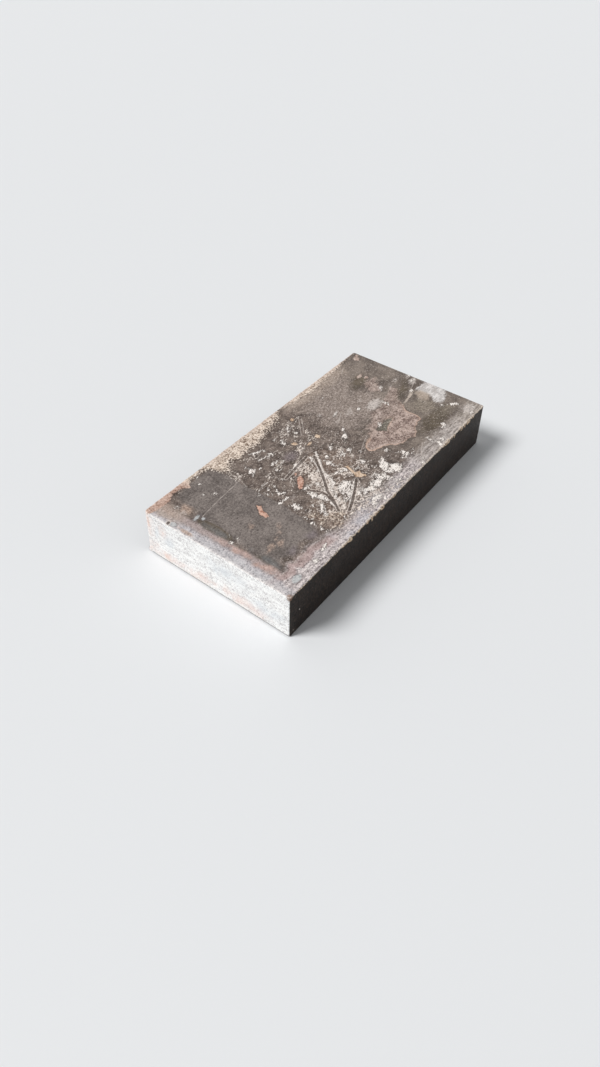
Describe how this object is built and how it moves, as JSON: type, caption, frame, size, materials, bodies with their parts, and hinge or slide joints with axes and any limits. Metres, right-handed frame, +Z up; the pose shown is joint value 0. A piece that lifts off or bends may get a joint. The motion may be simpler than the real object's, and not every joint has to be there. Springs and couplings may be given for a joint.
{
  "type": "steel plate",
  "caption": "Short thick rectangular blank of hot-rolled steel plate with heat-cut sides, a ragged top lip and worn mill scale.",
  "frame": {"origin": "middle of the underside, on the floor that the plate lies on", "axes": "+Z up through the thickness, X along the long side with the pale heat-tinted end at -X, Y across the width with the ragged lip at -Y"},
  "size_m": [0.1001, 0.0501, 0.015],
  "materials": {
    "plate_steel": "dark worn mill scale with rust flakes and heat tint on top, pale grey heat-cut sides"
  },
  "bodies": {
    "root": {"steel_plate": "plate_steel"}
  },
  "joints": []
}
